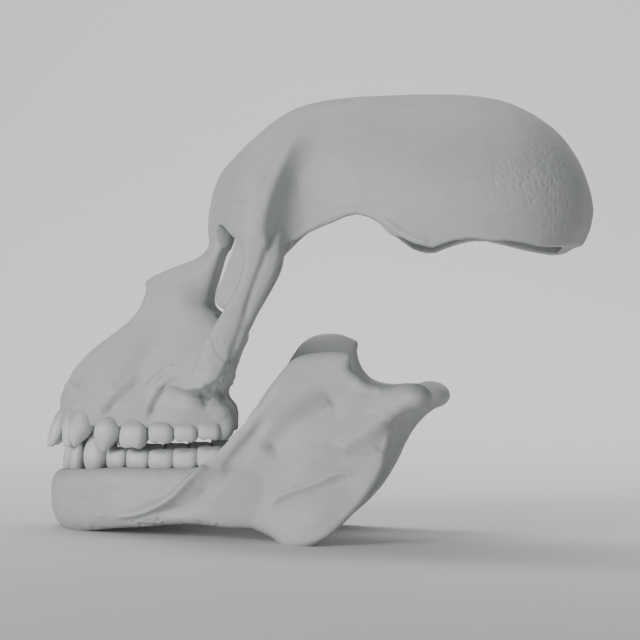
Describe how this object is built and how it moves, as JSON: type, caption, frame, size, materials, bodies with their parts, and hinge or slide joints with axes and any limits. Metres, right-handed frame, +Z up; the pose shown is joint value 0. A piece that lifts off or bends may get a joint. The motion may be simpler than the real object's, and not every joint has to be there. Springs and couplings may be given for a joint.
{
  "type": "fossil ape skull",
  "caption": "Life-size fossil ape skull with an open, domed braincase, slender orbit pillars, a long sloping face and a jaw with full tooth rows.",
  "frame": {"origin": "centre of the footprint of the skull's bounding box, at the level it rests on", "axes": "-X is the way the face looks, -Y the skull's left side, +Z up"},
  "size_m": [0.1828, 0.0882, 0.1504],
  "materials": {
    "braincase_bone": "matt pale grey fossil bone",
    "face_bone": "matt pale grey fossil bone, teeth slightly smoother",
    "mandible_bone": "matt pale grey fossil bone, teeth slightly smoother"
  },
  "bodies": {
    "root": {"braincase": "braincase_bone", "face": "face_bone", "mandible": "mandible_bone"}
  },
  "joints": []
}
